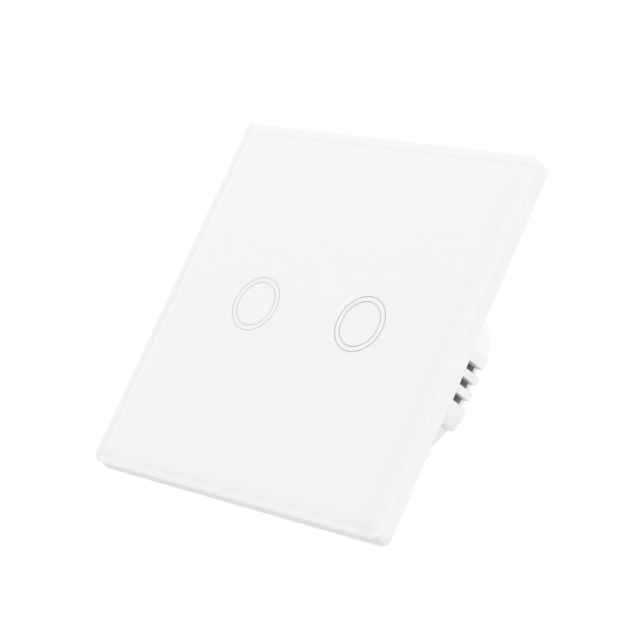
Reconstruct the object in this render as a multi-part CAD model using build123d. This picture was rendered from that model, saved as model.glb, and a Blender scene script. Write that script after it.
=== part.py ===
"""Two-key touch light switch for a round wall box, in millimetres.

The wall is the plane y = 0. The glass faces -y, the housing goes into the wall along +y,
and +z is up. The origin is midway between the two wall box screws, on the wall plane.
"""

from build123d import *
import math
import os

# Glass panel: a square plate with a wide, shallow bevel on its front edge.
panel_side = 86.0
glass_thickness = 1.2
glass_corner = 1.5
bevel_width = 2.0
bevel_depth = 0.25

# Touch marks: two thin printed rings each, one pair at the left and one at the right.
mark_spacing_share = 15.6 / 43
mark_radius_share = 3.2 / 43
mark_ring_step = 1.2
mark_line = 0.2
mark_print = 0.03

# Bonding tape between the glass and the frame.
tape_thickness = 0.15
tape_width = 5.0
tape_inset = 0.15

# Front frame: a shallow tray that flares towards the wall.
lamp_room = 0.7
frame_inset = 0.1
frame_flare = 0.4
frame_corner = 1.8
frame_wall = 1.6
frame_web = 1.0
frame_rib = 1.0
frame_rib_shortfall = 0.3
screw_window_share = 1 / 6
screw_window_height = 8.0

# Light guides: stepped rings that carry the lamps' light to the marks.
guide_margin = 0.9
guide_step = 0.7
guide_rim = 0.65

# Clearances.
fit = 0.1
turning_fit = 0.05
loose_fit = 0.3
overrun = 1.0

# Round parts that stay out of sight, and the thin rings of the touch marks, are drawn with this
# many sides: small ones as pegs, wider ones as guides, then the marks, and the widest as discs.
peg_sides = 12
guide_sides = 24
mark_sides = 36
disc_sides = 48

# Mounting plate: steel, screwed to the wall box through two dished slots.
plate_share = 36 / 43
plate_corner = 6.0
plate_thickness = 1.2
box_screw_share = 30 / 43
slot_width = 3.8
slot_length = 5.6
dish_depth = 0.7
dish_angle = 45.0

# Panel latches: short hooks that pass the plate and catch behind it.
latch_angles = (-28.25, 40.75, 151.75, 220.75)
latch_width = 4.5
latch_thickness = 1.0
latch_barb = 0.6
latch_reach = 1.3
latch_stand_off = 1.2
latch_flex = 0.7

# Rear housing: a round drum with two flats beside the wall box screws.
drum_share = 14 / 43
drum_depth = 25.0
drum_wall = 2.3
flat_inset = 1.0
flat_wall = 1.5
drum_edge_break = 0.4
recess_depth = 1.5
recess_half_angle = 6.25
recess_round = 1.4
notch_count = 3
notch_spacing = 3.75
notch_width = 1.9
notch_length = 5.7
notch_mouth = 0.6
ledge_thickness = 1.5
ledge_width = 3.0

# Columns in the housing take the plate's screws in front and the cover's behind.
column_angles = (-20.0, 29.0, 160.0, 209.0)
column_radius = 3.0
column_inset = 2.7
plate_screw_offset = 1.6

# Self-tapping screws.
tapping_radius = 1.0
tapping_head_radius = 2.0
tapping_head_height = 0.9
tapping_length = 6.0
small_screw_radius = 0.8
small_head_radius = 1.5
small_head_height = 0.5
small_screw_length = 2.4
recess_share = 0.55
recess_slot_share = 0.22

# Touch board, in the plate's opening, with its springs, lamps and chip.
board_step = 1.4
board_thickness = 1.2
board_screw_inset = 1.6
spring_margin = 0.9
spring_wire = 0.4
spring_turns = 2.5
spring_turn_steps = 10
spring_wire_sides = 4
spring_gap = 0.05
lamp_length = 1.6
lamp_width = 0.8
lamp_height = 0.5
chip_width = 3.9
chip_height = 1.5
chip_distance = 6.0
chip_leg = 1.0
chip_leg_spacing = 1.27
chip_leg_width = 0.42
chip_leg_thickness = 0.3
chip_lift = 0.15
chip_leg_count = 8

# The plug and socket between the two boards.
plug_pins = 6
plug_pin_spacing = 2.0
plug_width = 2.6
plug_distance = 8.0
socket_height = 2.0
pin_width = 0.5
pin_reach = 1.6

# Power board.
stand_off = 3.5
power_board_thickness = 1.6
power_board_gap = 0.5
post_inset = 3.9
post_radius = 2.0
pan_head_radius = 1.6
pan_head_height = 1.2
pan_screw_radius = 0.9
pan_screw_share = 0.8

# Parts of the power supply. Widths, lengths and places are shares of the housing's inner
# radius. Heights are shares of the room between the power board and the cover.
rectifier_shares = (0.183, 0.152)
rectifier_height = 1.3
rectifier_place_share = (-0.32, 0.32)
transformer_shares = (0.428, 0.195, 0.562)
transformer_leg_share = 0.22
transformer_yoke_share = 0.16
winding_length_share = 0.374
winding_corner_share = 0.25
transformer_place_share = (-0.46, -0.19)
bulk_radius_share = 0.156
bulk_height_share = 0.615
bulk_groove = 0.35
bulk_groove_rise = 1.05
bulk_place_share = (-0.03, -0.2)
film_shares = (0.467, 0.179, 0.535)
film_place_share = (0.44, -0.05)
varistor_radius_share = 0.136
varistor_thickness_share = 0.125
varistor_edge_share = 0.2
varistor_place_share = (0.3, -0.31)
fuse_shares = (0.156, 0.156, 0.428)
fuse_place_share = (0.56, -0.3)
box_corner_share = 0.12

# Relays: closed cases, with a coil that tips an armature against a fixed contact.
relay_count = 2
relay_length_share = 0.798
relay_width_share = 0.28
relay_height_share = 0.818
relay_spacing_share = 0.319
relay_bank_share = 0.41
relay_wall = 0.7
relay_base_height = 1.6
relay_inset = 0.8
relay_yoke = 1.0
relay_yoke_share = 0.64
relay_core_share = 0.153
relay_coil_share = 0.361
relay_coil_height_share = 0.536
relay_flange = 0.6
relay_flange_lip = 0.35
relay_air_gap = 0.3
armature_thickness = 0.8
armature_angle = 3.0
arm_thickness = 0.3
arm_width_share = 0.42
contact_inset = 2.0
contact_radius = 0.9
contact_post = 0.5

# Terminal block: each way has a screw that draws a clamp towards the back.
# Sizes in the plane of the wall are shares of the spacing of the ways.
way_count = 4
way_spacing_share = 0.2643
block_end = 0.4
block_depth_share = 1.351
entry_wall = 2.0
entry_radius = 1.8
entry_funnel = 0.6
chamber_width_share = 0.784
chamber_depth_share = 0.865
clamp_play = 0.2
clamp_depth_share = 0.781
clamp_wall = 0.9
clamp_top = 1.6
wire_space = 4.0
bar_thickness = 0.8
bar_gap = 0.15
thread_lead = 0.6
clamp_travel = 3.4
head_lip = 0.8
head_lip_overlap = 0.5
head_collar = 1.0
terminal_head_share = 0.351
terminal_head_height = 1.8
terminal_screw_share = 0.23

# Rear cover.
cover_thickness = 1.2
vent_count = 6
vent_length_share = 0.7
vent_width = 1.4
vent_spacing_share = 0.113
vent_centre_share = 0.38

# Sizes in the plane of the wall that follow from the panel's side.
mark_spacing = panel_side * mark_spacing_share
mark_radius = panel_side * mark_radius_share
plate_side = panel_side * plate_share
box_screw_spacing = panel_side * box_screw_share
screw_window_width = box_screw_spacing * screw_window_share
drum_radius = panel_side * drum_share
flat_distance = drum_radius - flat_inset
inner_radius = drum_radius - drum_wall
inner_flat = flat_distance - flat_wall
column_distance = inner_radius - column_inset
plate_screw_distance = column_distance + plate_screw_offset
board_radius = column_distance - board_step
board_screw_distance = board_radius - board_screw_inset
ledge_radius = board_radius - ledge_width
post_distance = inner_flat - post_inset
mark_places = {"left": -mark_spacing / 2, "right": mark_spacing / 2}
guide_outer = mark_radius + guide_margin
guide_inner = mark_radius - mark_ring_step - guide_margin
spring_radius = guide_inner - spring_margin

# Depths that follow from the thicknesses.
frame_face = -(board_thickness + lamp_room + frame_web)
glass_back = frame_face - tape_thickness
glass_front = glass_back - glass_thickness
bevel_foot = glass_front + bevel_depth
web_back = frame_face + frame_web
plate_front = -plate_thickness
board_front = -board_thickness
deck = stand_off + power_board_thickness
pan_screw_length = power_board_thickness + stand_off * pan_screw_share
cover_front = drum_depth - cover_thickness
room = cover_front - deck

# The relays' inner parts.
relay_length = inner_radius * relay_length_share
relay_width = inner_radius * relay_width_share
relay_height = room * relay_height_share
relay_core_radius = relay_width * relay_core_share
relay_coil_radius = relay_width * relay_coil_share
relay_yoke_width = relay_width * relay_yoke_share
arm_width = relay_width * arm_width_share
yoke_left = -relay_length / 2 + relay_wall + relay_inset
core_place = yoke_left + relay_yoke + relay_coil_radius + loose_fit
yoke_foot = deck + relay_base_height
coil_foot = yoke_foot + relay_yoke
coil_back = coil_foot + relay_height * relay_coil_height_share
pole = coil_back + relay_air_gap
hinge_depth = pole + relay_air_gap
hinge_place = yoke_left + relay_yoke / 2
contact_place = relay_length / 2 - relay_wall - contact_inset
contact_travel = (contact_place - hinge_place) * math.sin(math.radians(armature_angle))

# The terminal block and what moves in it.
way_spacing = drum_radius * way_spacing_share
way_places = [(way - (way_count - 1) / 2) * way_spacing for way in range(way_count)]
block_width = way_count * way_spacing + 2 * block_end
block_face = -math.sqrt(drum_radius**2 - (block_width / 2) ** 2)
block_back = block_face + way_spacing * block_depth_share
chamber_width = way_spacing * chamber_width_share
chamber_depth = way_spacing * chamber_depth_share
chamber_face = block_face + entry_wall
chamber_back = chamber_face + chamber_depth
clamp_width = chamber_width - 2 * clamp_play
clamp_depth = chamber_depth * clamp_depth_share
clamp_middle = chamber_face + chamber_depth / 2
bar_width = clamp_width - 2 * clamp_wall - 2 * loose_fit
terminal_head_radius = way_spacing * terminal_head_share
terminal_screw_radius = way_spacing * terminal_screw_share
collar_rear = drum_depth - head_lip - terminal_head_height - turning_fit
chamber_top = collar_rear - head_collar
clamp_rear = chamber_top - fit - clamp_travel
bar_rear = clamp_rear - clamp_top - bar_gap
bar_front = bar_rear - bar_thickness
clamp_front = bar_front - wire_space - clamp_wall
wire_depth = clamp_front + clamp_wall + wire_space / 2


def across(depth):
    """A drawing plane parallel to the wall, seen from the front: x is to the right and y is up."""
    return Plane(origin=(0, depth, 0), x_dir=(1, 0, 0), z_dir=(0, -1, 0))


def slab(outline, front, back):
    """An outline seen from the front, made solid from depth front to depth back."""
    return extrude(across(back) * outline, amount=back - front)


def beside(right, up, outline):
    """The outline, moved right and up in the plane of the wall."""
    return Pos(right, up) * outline


def polar(radius, angle):
    """Right and up of a place at a radius and an angle from the centre."""
    return radius * math.cos(math.radians(angle)), radius * math.sin(math.radians(angle))


def ring(outer, inner):
    """The outline of a flat ring."""
    return Circle(outer) - Circle(inner)


def sector(outer, inner, middle, half_angle):
    """A stretch of a flat ring, on both sides of the middle angle."""
    reach = outer / math.cos(math.radians(half_angle))
    wedge = Polygon((0, 0), polar(reach, middle - half_angle), polar(reach, middle + half_angle), align=None)
    return ring(outer, inner) & wedge


def square(side, corner):
    """A square outline with round corners."""
    return RectangleRounded(side, side, corner)


def peg(radius, sides=peg_sides):
    """The outline of a round part, whose corners lie on the radius."""
    return RegularPolygon(radius, sides)


def peg_hole(radius, sides=peg_sides):
    """The outline of a round hole, whose sides keep clear of the radius."""
    return RegularPolygon(radius, sides, major_radius=False)


def taper(outline, front_radius, back_radius, back):
    """A tapered solid from depth 0 to depth back, between two sizes of a peg or of its hole."""
    wide = outline(front_radius)
    spread = (1 - back_radius / front_radius) * wide.edges()[0].center().length
    angle = math.degrees(math.atan(spread / back))
    return Rot(-90, 0, 0) * extrude(wide, amount=back, taper=angle)


def drawn_in(outline, front, angle):
    """A solid that stands on the outline at depth 0 and narrows by the angle towards depth front."""
    return Rot(90, 0, 0) * extrude(outline, amount=-front, taper=angle)


def round_part(profile):
    """A solid turned about the depth axis. The profile is a list of (radius, depth) points."""
    outline = make_face(Polyline(*[(radius, depth, 0) for radius, depth in profile], close=True))
    return revolve(outline, Axis.Y)


def cross_recess(head_radius, front, back):
    """The cross cut in a screw's head."""
    long = 2 * head_radius * recess_share
    short = 2 * head_radius * recess_slot_share
    return slab(Rectangle(long, short) + Rectangle(short, long), front, back)


def countersunk_screw():
    """A self-tapping screw whose flat head faces the front, at depth 0."""
    head = taper(peg, tapping_head_radius, tapping_radius, tapping_head_height)
    shank = slab(peg(tapping_radius), tapping_head_height, tapping_length)
    return head + shank


def flat_head_screw(head_radius, head_height, shank_radius, length):
    """A screw whose head's seat faces +y at depth 0, with its shank behind."""
    head = slab(peg(head_radius), -head_height, 0)
    shank = slab(peg(shank_radius), 0, length)
    return head + shank


def countersink(right, up, front, back, way=1):
    """The hole for a countersunk screw, through a sheet from front to back. way=-1 opens to the rear."""
    hole = taper(peg_hole, tapping_head_radius + fit, tapping_radius + fit, tapping_head_height)
    hole += slab(peg_hole(tapping_radius + fit), 0, back - front + overrun)
    if way < 0:
        return Pos(right, back, up) * Rot(180, 0, 0) * hole
    return Pos(right, front, up) * hole


def glass_panel():
    """A square plate. Four shallow planes meet at its corners and make the bevel."""
    plate = slab(square(panel_side, glass_corner), glass_front, glass_back)
    slope = math.degrees(math.atan(bevel_width / bevel_depth))
    bevelled = Pos(0, bevel_foot, 0) * drawn_in(Rectangle(panel_side, panel_side), -bevel_depth, slope)
    return plate & (bevelled + slab(Rectangle(panel_side, panel_side), bevel_foot, glass_back))


def touch_mark(side):
    """Two thin rings printed on the glass."""
    rings = []
    for radius in (mark_radius, mark_radius - mark_ring_step):
        outline = peg(radius + mark_line / 2, mark_sides) - peg(radius - mark_line / 2, mark_sides)
        rings.append(slab(beside(mark_places[side], 0, outline), glass_front - mark_print, glass_front))
    return Compound(rings)


def bonding_tape():
    side = panel_side - 2 * tape_inset
    opening = Rectangle(side - 2 * tape_width, side - 2 * tape_width)
    return slab(square(side, glass_corner) - opening, glass_back, frame_face)


def front_frame():
    """The tray: a flared skirt, a web behind the glass and a rim that centres it on the plate."""
    face_side = panel_side - 2 * frame_inset
    wall_side = face_side + 2 * frame_flare
    wall_corner = frame_corner + frame_flare
    draft = math.degrees(math.atan(frame_flare / -frame_face))
    skirt = drawn_in(square(wall_side, wall_corner), frame_face, draft)
    inside = square(wall_side - 2 * frame_wall, wall_corner - frame_wall)
    frame = skirt - slab(inside, web_back, overrun)
    rim_side = plate_side + 2 * loose_fit
    rim = square(rim_side + 2 * frame_rib, plate_corner + frame_rib) - square(rim_side, plate_corner)
    frame += slab(rim, web_back, -frame_rib_shortfall)
    for place in mark_places.values():
        rim_hole = beside(place, 0, peg_hole(guide_outer + guide_step + fit, guide_sides))
        body_hole = beside(place, 0, peg_hole(guide_outer + fit, guide_sides))
        frame -= slab(rim_hole, frame_face - overrun, glass_back + guide_rim + fit)
        frame -= slab(body_hole, frame_face - overrun, web_back + overrun)
    for side in (-1, 1):
        window = beside(side * box_screw_spacing / 2, 0, Rectangle(screw_window_width, screw_window_height))
        frame -= slab(window, frame_face - overrun, web_back + overrun)
    return frame


def light_guide(side):
    """A clear stepped ring: its wide rim lies between the glass and the frame's web."""
    hole = peg_hole(guide_inner, guide_sides)
    rim = slab(peg(guide_outer + guide_step, guide_sides) - hole, glass_back, glass_back + guide_rim)
    body = slab(peg(guide_outer, guide_sides) - hole, glass_back, web_back)
    return Pos(mark_places[side], 0, 0) * (rim + body)


def panel_latches():
    """Hooks behind the web, one in each recess of the housing."""
    inner = drum_radius - recess_depth + latch_stand_off
    outer = inner + latch_thickness
    hooks = []
    for angle in latch_angles:
        shape = Polygon(
            (inner, web_back),
            (outer, web_back),
            (outer, turning_fit),
            (outer + latch_barb, turning_fit),
            (outer, latch_reach),
            (inner, latch_reach),
            align=None,
        )
        hook = extrude(shape, amount=latch_width / 2, both=True)
        hooks.append(Rot(0, -angle, 0) * hook)
    return Compound(hooks)


def latch_windows():
    """The plate's openings for the latches, with room for them to flex inwards."""
    inner = drum_radius - recess_depth + latch_stand_off - latch_flex
    outer = inner + latch_flex + latch_thickness + fit
    outline = Pos((inner + outer) / 2, 0) * Rectangle(outer - inner, latch_width + 2 * loose_fit)
    return [Rot(0, 0, angle) * outline for angle in latch_angles]


def mounting_plate():
    outline = square(plate_side, plate_corner) - peg_hole(board_radius + loose_fit, disc_sides)
    for window in latch_windows():
        outline -= window
    plate = slab(outline, plate_front, 0)
    wide = 2 * dish_depth * math.tan(math.radians(dish_angle))
    dish = extrude(SlotOverall(slot_length + wide, slot_width + wide), amount=dish_depth, taper=dish_angle)
    for side in (-1, 1):
        slot = beside(side * box_screw_spacing / 2, 0, SlotOverall(slot_length, slot_width))
        plate -= slab(slot, plate_front - overrun, overrun)
        plate -= Pos(side * box_screw_spacing / 2, plate_front, 0) * Rot(-90, 0, 0) * dish
    for angle in column_angles:
        right, up = polar(plate_screw_distance, angle)
        plate -= countersink(right, up, plate_front, 0)
    return plate


def plate_screws():
    screws = []
    for angle in column_angles:
        right, up = polar(plate_screw_distance, angle)
        screws.append(Pos(right, plate_front, up) * countersunk_screw())
    return Compound(screws)


def inner_outline(gap):
    """A disc with a flat at its left and its right, that keeps a gap to the housing's wall."""
    width = 2 * (inner_flat - gap)
    return peg(inner_radius - gap, disc_sides) & Rectangle(width, 2 * inner_radius)


def outer_outline():
    """The housing's outside: a circle with two flats, and a rounded recess for each latch."""
    outline = Circle(drum_radius) & Rectangle(2 * flat_distance, 2 * drum_radius)
    floor = drum_radius - recess_depth
    for angle in latch_angles:
        outline -= sector(drum_radius + overrun, floor, angle, recess_half_angle)
    corners = []
    for angle in latch_angles:
        for end in (angle - recess_half_angle, angle + recess_half_angle):
            place = Vector(*polar(drum_radius, end))
            corners.append(min(outline.vertices(), key=lambda corner: (corner.center() - place).length))
    return fillet(corners, recess_round)


def rear_housing():
    """The drum: a wall with notches, a ledge for the touch board, columns and posts."""
    outline = outer_outline()
    inside = inner_outline(0)
    drum = slab(outline, 0, drum_depth)
    drum = chamfer(drum.faces().sort_by(Axis.Y)[-1].edges(), drum_edge_break)
    drum -= slab(inside, ledge_thickness, drum_depth + overrun)
    drum -= slab(peg_hole(ledge_radius, disc_sides), -overrun, ledge_thickness + overrun)
    for angle in column_angles:
        column = beside(*polar(column_distance, angle), peg(column_radius)) & inside
        drum += slab(column, 0, cover_front)
    for side in (-1, 1):
        drum += slab(beside(side * post_distance, 0, peg(post_radius)), 0, stand_off)
    return drum - housing_holes()


def notches():
    """The notches of one flat, seen from the side as depth and height, with wider mouths."""
    rim_height = notch_count * notch_spacing + notch_width
    outline = Pos(drum_depth + overrun / 2, 0) * Rectangle(overrun, rim_height)
    for number in range(notch_count):
        up = (number - (notch_count - 1) / 2) * notch_spacing
        notch = Rectangle(notch_length + overrun, notch_width)
        outline += Pos(drum_depth + (overrun - notch_length) / 2, up) * notch
    mouths = [corner for corner in outline.vertices() if abs(corner.X - drum_depth) < notch_mouth]
    return chamfer([corner for corner in mouths if abs(corner.Y) < rim_height / 2], notch_mouth)


def housing_holes():
    """Pilot holes, the notches in the flats and the opening for the terminal block."""
    pilot = peg_hole(tapping_radius + turning_fit)
    holes = []
    for angle in column_angles:
        holes.append(slab(beside(*polar(plate_screw_distance, angle), pilot), -overrun, tapping_length))
        rear = beside(*polar(column_distance, angle), pilot)
        holes.append(slab(rear, drum_depth - tapping_length, drum_depth + overrun))
    for side in (-1, 1):
        post_hole = beside(side * post_distance, 0, peg_hole(pan_screw_radius + turning_fit))
        holes.append(slab(post_hole, deck - pan_screw_length - fit, deck))
        board_hole = beside(0, side * board_screw_distance, peg_hole(small_screw_radius + turning_fit))
        holes.append(slab(board_hole, -overrun, ledge_thickness + overrun))
        flank = Plane(origin=(side * flat_distance, 0, 0), x_dir=(0, 1, 0), z_dir=(1, 0, 0))
        holes.append(extrude(flank * notches(), amount=flat_wall + overrun, both=True))
    gap_top = block_back + fit
    gap_bottom = -drum_radius - overrun
    gap = Rectangle(block_width + 2 * fit, gap_top - gap_bottom)
    holes.append(slab(beside(0, (gap_top + gap_bottom) / 2, gap), deck, drum_depth + overrun))
    return holes


def touch_board():
    outline = peg(board_radius, disc_sides)
    for side in (-1, 1):
        outline -= beside(0, side * board_screw_distance, peg_hole(small_screw_radius + fit))
    return slab(outline, board_front, 0)


def touch_board_screws():
    screw = flat_head_screw(small_head_radius, small_head_height, small_screw_radius, small_screw_length)
    return Compound([Pos(0, board_front, side * board_screw_distance) * screw for side in (-1, 1)])


def touch_spring(side):
    """An open coil between the touch board and the glass, wound in short straight steps."""
    height = board_front - glass_back - spring_wire - 2 * spring_gap
    steps = round(spring_turns * spring_turn_steps)
    points = []
    for step in range(steps + 1):
        right, up = polar(spring_radius, 360 * step / spring_turn_steps)
        points.append((right, up, height * step / steps))
    path = Polyline(*points)
    wire = Plane(origin=path @ 0, z_dir=path % 0) * RegularPolygon(spring_wire / 2, spring_wire_sides)
    coil = sweep(wire, path, transition=Transition.RIGHT)
    foot = board_front - spring_gap - spring_wire / 2
    return Pos(mark_places[side], foot, 0) * Rot(90, 0, 0) * coil


def indicator_leds():
    """Two lamps behind each mark, midway between its rings."""
    reach = mark_radius - mark_ring_step / 2
    outline = Rectangle(lamp_length, lamp_width)
    lamps = []
    for place in mark_places.values():
        for side in (-1, 1):
            lamps.append(slab(beside(place, side * reach, outline), board_front - lamp_height, board_front))
    return Compound(lamps)


def touch_chip():
    """A flat chip on the back of the touch board, with a row of legs on each side."""
    chip_length = chip_leg_count * chip_leg_spacing
    body = slab(beside(0, chip_distance, Rectangle(chip_length, chip_width)), chip_lift, chip_height)
    leg_row = Rectangle(chip_leg_width, chip_width + 2 * chip_leg)
    for number in range(chip_leg_count):
        right = (number - (chip_leg_count - 1) / 2) * chip_leg_spacing
        body += slab(beside(right, chip_distance, leg_row), 0, chip_leg_thickness)
    return body


def plug_places():
    return [(number - (plug_pins - 1) / 2) * plug_pin_spacing for number in range(plug_pins)]


def board_socket():
    """The socket on the back of the touch board."""
    outline = beside(0, -plug_distance, Rectangle(plug_pins * plug_pin_spacing, plug_width))
    for right in plug_places():
        outline -= beside(right, -plug_distance, Rectangle(pin_width + 2 * fit, pin_width + 2 * fit))
    return slab(outline, 0, socket_height)


def board_header():
    """The plug on the front of the power board, with its pins in the socket."""
    base = beside(0, -plug_distance, Rectangle(plug_pins * plug_pin_spacing, plug_width))
    header = slab(base, socket_height, stand_off)
    for right in plug_places():
        pin = beside(right, -plug_distance, Rectangle(pin_width, pin_width))
        header += slab(pin, socket_height - pin_reach, stand_off)
    return header


def power_board():
    outline = inner_outline(power_board_gap)
    for angle in column_angles:
        outline -= beside(*polar(column_distance, angle), peg_hole(column_radius + power_board_gap))
    for side in (-1, 1):
        outline -= beside(side * post_distance, 0, peg_hole(pan_screw_radius + fit))
    return slab(outline, stand_off, deck)


def power_board_screws():
    screw = flat_head_screw(pan_head_radius, pan_head_height, pan_screw_radius, pan_screw_length)
    return Compound([Pos(side * post_distance, deck, 0) * Rot(180, 0, 0) * screw for side in (-1, 1)])


def placed(share, piece):
    """A piece on the power board, at a share of the housing's inner radius."""
    return Pos(share[0] * inner_radius, 0, share[1] * inner_radius) * piece


def rectifier():
    """On the front of the power board, between the two boards."""
    length, width = (inner_radius * share for share in rectifier_shares)
    body = slab(Rectangle(length, width), stand_off - rectifier_height, stand_off)
    return placed(rectifier_place_share, body)


transformer_width = inner_radius * transformer_shares[0]
transformer_depth = inner_radius * transformer_shares[1]
transformer_back = deck + room * transformer_shares[2]
transformer_leg = transformer_width * transformer_leg_share
transformer_yoke = transformer_width * transformer_yoke_share
transformer_window = (transformer_width - 2 * transformer_yoke - transformer_leg) / 2


def transformer_core():
    """Two legs and a middle leg, joined by a yoke in front and behind."""
    frame = slab(Rectangle(transformer_width, transformer_depth), deck, transformer_back)
    for side in (-1, 1):
        middle = side * (transformer_leg + transformer_window) / 2
        window = beside(middle, 0, Rectangle(transformer_window, transformer_depth + overrun))
        frame -= slab(window, deck + transformer_yoke, transformer_back - transformer_yoke)
    return placed(transformer_place_share, frame)


def transformer_winding():
    """The wound bobbin round the core's middle leg."""
    width = transformer_leg + 2 * (transformer_window - fit)
    length = inner_radius * winding_length_share
    outline = RectangleRounded(width, length, width * winding_corner_share)
    outline -= Rectangle(transformer_leg, transformer_depth)
    winding = slab(outline, deck + transformer_yoke, transformer_back - transformer_yoke)
    return placed(transformer_place_share, winding)


def bulk_capacitor():
    """A can with a rolled groove near its foot."""
    radius = inner_radius * bulk_radius_share
    groove = deck + bulk_groove_rise
    back = deck + room * bulk_height_share
    cut = peg(radius + overrun, guide_sides) - peg(radius - bulk_groove, guide_sides)
    can = slab(peg(radius, guide_sides), deck, back) - slab(cut, groove, groove + bulk_groove)
    return placed(bulk_place_share, can)


def boxed(shares):
    """A small moulded part on the power board, with its upright edges rounded."""
    length = inner_radius * shares[0]
    width = inner_radius * shares[1]
    corner = min(length, width) * box_corner_share
    return slab(RectangleRounded(length, width, corner), deck, deck + room * shares[2])


def varistor():
    """A coated disc that stands on its edge."""
    radius = inner_radius * varistor_radius_share
    thickness = inner_radius * varistor_thickness_share
    disc = extrude(peg(radius, guide_sides), amount=thickness / 2, both=True)
    ends = disc.faces().sort_by(Axis.Z)
    disc = chamfer(ends[0].edges() + ends[-1].edges(), thickness * varistor_edge_share)
    return placed(varistor_place_share, Pos(0, deck + radius, 0) * disc)


def relay_heights():
    """The height of each relay's centre line in the housing."""
    relay_spacing = inner_radius * relay_spacing_share
    top = relay_bank_share * inner_radius + (relay_count - 1) * relay_spacing / 2
    return [top - number * relay_spacing for number in range(relay_count)]


def relay_case():
    outer = RectangleRounded(relay_length, relay_width, relay_wall)
    inner = Rectangle(relay_length - 2 * relay_wall, relay_width - 2 * relay_wall)
    case = slab(outer, deck, deck + relay_height)
    return case - slab(inner, deck - overrun, deck + relay_height - relay_wall)


def relay_base():
    length = relay_length - 2 * relay_wall - 2 * fit
    width = relay_width - 2 * relay_wall - 2 * fit
    return slab(Rectangle(length, width), deck, yoke_foot)


def relay_yoke_and_core():
    """An L of steel with the coil's core standing on its foot."""
    foot_end = core_place + relay_coil_radius
    foot_middle = (yoke_left + foot_end) / 2
    foot = beside(foot_middle, 0, Rectangle(foot_end - yoke_left, relay_yoke_width))
    upright = beside(hinge_place, 0, Rectangle(relay_yoke, relay_yoke_width))
    yoke = slab(foot, yoke_foot, coil_foot) + slab(upright, yoke_foot, hinge_depth - turning_fit)
    return yoke + slab(beside(core_place, 0, peg(relay_core_radius)), yoke_foot, pole)


def relay_coil():
    """A bobbin with a flange at each end and the winding between them."""
    coil = slab(peg(relay_coil_radius - relay_flange_lip), coil_foot, coil_back)
    coil += slab(peg(relay_coil_radius), coil_foot, coil_foot + relay_flange)
    coil += slab(peg(relay_coil_radius), coil_back - relay_flange, coil_back)
    coil -= slab(peg_hole(relay_core_radius + turning_fit), coil_foot, coil_back)
    return Pos(core_place, 0, 0) * coil


def relay_contact():
    """The fixed contact on its post, just out of reach of the arm."""
    top = hinge_depth - contact_travel - turning_fit
    post = beside(contact_place, 0, Rectangle(contact_post, arm_width))
    return slab(post, yoke_foot, top - contact_post) + slab(
        beside(contact_place, 0, peg(contact_radius)), top - contact_post, top
    )


def relay_armature():
    """A plate that rests on the yoke's edge, with a spring arm and its contact."""
    plate_end = core_place + relay_core_radius
    plate_middle = (yoke_left + plate_end) / 2
    plate_back = hinge_depth + armature_thickness
    plate = beside(plate_middle, 0, Rectangle(plate_end - yoke_left, relay_yoke_width))
    arm_end = contact_place + contact_radius
    arm_middle = (hinge_place + arm_end) / 2
    arm = beside(arm_middle, 0, Rectangle(arm_end - hinge_place, arm_width))
    armature = slab(plate, hinge_depth, plate_back) + slab(arm, plate_back, plate_back + arm_thickness)
    return armature + slab(beside(contact_place, 0, peg(contact_radius)), hinge_depth, plate_back)


def terminal_block():
    """The block: for each way a wire entry, a clamp chamber, a slot for the bar and a screw well."""
    outline = Rectangle(block_width, block_back - block_face)
    block = slab(beside(0, (block_face + block_back) / 2, outline), deck, drum_depth)
    for place in way_places:
        middle = (chamber_face + chamber_back) / 2
        chamber = beside(place, middle, Rectangle(chamber_width, chamber_depth))
        block -= slab(chamber, deck - overrun, chamber_top)
        well = beside(place, middle, peg_hole(terminal_head_radius + fit))
        block -= slab(well, collar_rear, drum_depth - head_lip)
        shank = beside(place, middle, peg_hole(terminal_screw_radius + fit))
        block -= slab(shank, chamber_top - overrun, collar_rear + overrun)
        access = beside(place, middle, peg_hole(terminal_head_radius - head_lip_overlap))
        block -= slab(access, collar_rear + overrun, drum_depth + overrun)
        bar_way = Rectangle(bar_width + 2 * fit, 2 * (block_back - chamber_back) + overrun)
        block -= slab(beside(place, block_back, bar_way), bar_front - fit, bar_rear + fit)
        block -= wire_entry(place)
    return block


def wire_entry(place):
    """A round hole into the chamber from below, with a funnel at its mouth."""
    profile = [
        (0, -overrun),
        (entry_radius + entry_funnel + overrun, -overrun),
        (entry_radius, entry_funnel),
        (entry_radius, entry_wall + overrun),
        (0, entry_wall + overrun),
    ]
    return Pos(place, wire_depth, block_face) * Rot(90, 0, 0) * round_part(profile)


def terminal_bars():
    """L-shaped current bars: through the clamp, out of the block's top and down to the board."""
    length_start = clamp_middle - clamp_depth / 2
    leg_end = block_back + bar_thickness
    bars = []
    for place in way_places:
        flat = beside(place, (length_start + leg_end) / 2, Rectangle(bar_width, leg_end - length_start))
        leg = beside(place, block_back + bar_thickness / 2, Rectangle(bar_width, bar_thickness))
        bars.append(slab(flat, bar_front, bar_rear) + slab(leg, deck, bar_rear))
    return Compound(bars)


def terminal_screw(place):
    """A screw held in its well, with its head to the rear and its shank in the clamp."""
    tip = bar_rear + fit
    head = slab(peg(terminal_head_radius), collar_rear, collar_rear + terminal_head_height)
    shank = slab(Circle(terminal_screw_radius), tip, collar_rear)
    head_rear = collar_rear + terminal_head_height
    screw = head + shank - cross_recess(terminal_head_radius, head_rear - head_collar, head_rear + overrun)
    return Pos(place, 0, clamp_middle) * screw


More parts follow.
